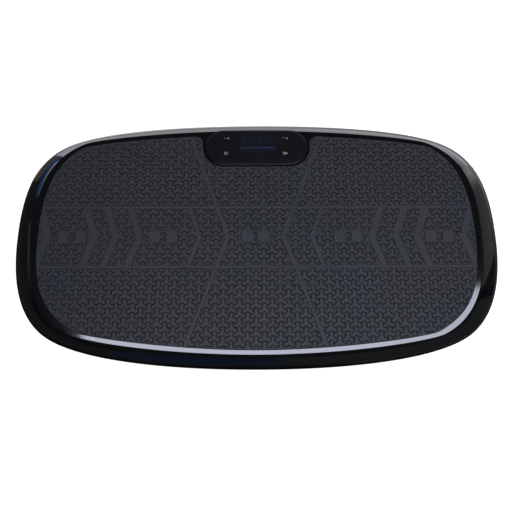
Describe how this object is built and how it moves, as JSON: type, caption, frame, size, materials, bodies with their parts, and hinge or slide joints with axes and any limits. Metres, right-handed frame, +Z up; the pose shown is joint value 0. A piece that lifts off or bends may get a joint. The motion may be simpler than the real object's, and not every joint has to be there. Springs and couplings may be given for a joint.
{
  "type": "vibration plate",
  "caption": "Low oval seesaw vibration plate: glossy black rocking casing with a textured grey tread mat and a pill-shaped touch panel, on a lower casing with rubber suction feet.",
  "frame": {"origin": "centre of the outline on the floor, under the feet", "axes": "+X to the right along the long side, +Y towards the panel, +Z up"},
  "size_m": [0.761, 0.404, 0.14],
  "materials": {
    "shell_gloss": "high gloss",
    "mat_rubber": "matt, moulded pattern",
    "bezel_gloss": "gloss",
    "lens": "smooth gloss, smoked",
    "base_plastic": "fine texture",
    "foot_rubber": "matt",
    "link_rubber": "matt",
    "belt_rubber": "matt",
    "painted_steel": "satin black",
    "steel": "ground",
    "zinc": "zinc plated",
    "black_steel": "black oxide",
    "cast_aluminium": "as cast",
    "bronze": "sintered",
    "pin_brass": "plated",
    "magnet": "grey",
    "rotor": "laminated, varnished",
    "board": "solder mask",
    "components": "mixed",
    "transformer": "taped",
    "nylon": "natural",
    "inlet_plastic": "satin",
    "rocker_red": "gloss",
    "wire": "PVC"
  },
  "bodies": {
    "base": {"base_shell": "base_plastic", "base_frame": "painted_steel", "suction_feet": "foot_rubber", "foot_screws": "zinc", "foot_nuts": "zinc", "pivot_posts": "painted_steel", "post_bolts": "zinc", "pivot_shaft": "steel", "shaft_circlips": "black_steel", "bearing_blocks": "painted_steel", "block_bolts": "zinc", "bearing_outer_rings": "steel", "bearing_balls": "steel", "motor_bracket": "painted_steel", "motor_can": "painted_steel", "motor_end_plate": "cast_aluminium", "motor_magnets": "magnet", "motor_bolts": "zinc", "drive_belt": "belt_rubber", "power_board": "board", "board_components": "components", "board_transformer": "transformer", "heatsink": "cast_aluminium", "board_standoffs": "nylon", "board_screws": "zinc", "power_inlet": "inlet_plastic", "inlet_pins": "pin_brass", "switch_housing": "inlet_plastic", "mains_lead": "wire", "motor_lead": "wire", "display_lead": "wire"},
    "platform": {"top_shell": "shell_gloss", "tread_mat": "mat_rubber", "panel_bezel": "bezel_gloss", "panel_lens": "lens", "display_board": "board", "display_module": "components", "touch_springs": "zinc", "display_screws": "zinc", "deck_plate": "painted_steel", "deck_channels": "painted_steel", "deck_screws": "zinc", "pivot_hangers": "painted_steel", "pivot_bushes": "bronze", "link_clevises": "painted_steel", "link_pins": "steel", "link_bushes": "link_rubber"},
    "eccentric_shaft": {"crankshaft": "steel", "eccentric_hubs": "steel", "hub_set_screws": "black_steel", "crank_pulley": "cast_aluminium", "bearing_inner_rings": "steel"},
    "link_left_body": {"link_left": "steel", "link_bearing_left": "steel"},
    "link_right_body": {"link_right": "steel", "link_bearing_right": "steel"},
    "motor_rotor": {"motor_shaft": "steel", "rotor_core": "rotor", "motor_pulley": "cast_aluminium"},
    "rocker": {"switch_rocker": "rocker_red"}
  },
  "joints": [
    {"name": "platform_rock", "type": "hinge", "parent": "base", "child": "platform", "pos_m": [0, 0, 0.1], "axis": [0, 1, 0], "range_deg": [-0.8, 0.8], "stiffness_Nm_per_rad": 400, "deforming": ["link_bushes"]},
    {"name": "crank_spin", "type": "hinge", "parent": "base", "child": "eccentric_shaft", "pos_m": [0, 0, 0.06], "axis": [1, 0, 0], "continuous": true},
    {"name": "link_left_turn", "type": "hinge", "parent": "eccentric_shaft", "child": "link_left_body", "pos_m": [-0.215, 0.003, 0.06], "axis": [1, 0, 0], "continuous": true},
    {"name": "link_right_turn", "type": "hinge", "parent": "eccentric_shaft", "child": "link_right_body", "pos_m": [0.215, -0.003, 0.06], "axis": [1, 0, 0], "continuous": true},
    {"name": "motor_spin", "type": "hinge", "parent": "base", "child": "motor_rotor", "pos_m": [0.1, -0.098, 0.06], "axis": [1, 0, 0], "continuous": true},
    {"name": "power_rocker", "type": "hinge", "parent": "base", "child": "rocker", "pos_m": [0.024, 0.157, 0.053], "axis": [1, 0, 0], "range_deg": [0, 16]}
  ],
  "couplings": [
    {"joint": "link_left_turn", "follows": "crank_spin", "ratio": -1},
    {"joint": "link_right_turn", "follows": "crank_spin", "ratio": -1},
    {"joint": "motor_spin", "follows": "crank_spin", "ratio": 3}
  ]
}
